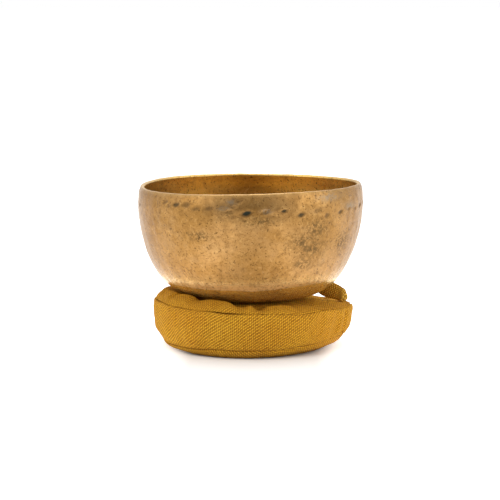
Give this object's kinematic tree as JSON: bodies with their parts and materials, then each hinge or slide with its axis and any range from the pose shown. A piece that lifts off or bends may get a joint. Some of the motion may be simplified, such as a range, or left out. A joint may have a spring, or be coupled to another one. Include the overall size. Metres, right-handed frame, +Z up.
{
  "type": "singing bowl",
  "caption": "Hand-hammered bronze singing bowl resting on a round box cushion of coarse woven cotton with a sewn strap loop.",
  "frame": {"origin": "centre of the cushion's flat underside, on the surface it stands on", "axes": "+Z up, +X to the right and -Y towards the front; the strap loop is at +X, +Y"},
  "size_m": [0.14, 0.14, 0.102],
  "materials": {
    "bronze": "aged hammered bell bronze, brown patina with worn golden areas",
    "cotton": "coarse plain weave, mustard yellow",
    "filling": "cotton fibre filling",
    "thread": "spun sewing thread, mustard"
  },
  "bodies": {
    "cushion": {"top_panel": "cotton", "side_band": "cotton", "bottom_panel": "cotton", "filling": "filling", "top_seam_thread": "thread", "bottom_seam_thread": "thread", "band_join_thread": "thread"},
    "bowl": {"bowl": "bronze"},
    "loop": {"strap_loop": "cotton", "strap_edge_thread": "thread"}
  },
  "joints": [
    {"name": "bowl_lift", "type": "slide", "parent": "cushion", "child": "bowl", "axis": [0, 0, 1], "range_m": [0, 0.12]},
    {"name": "loop_fold", "type": "hinge", "parent": "cushion", "child": "loop", "pos_m": [0.0434, 0.032, 0.0294], "axis": [-0.6018, 0.7987, 0], "range_deg": [0, 60]}
  ]
}
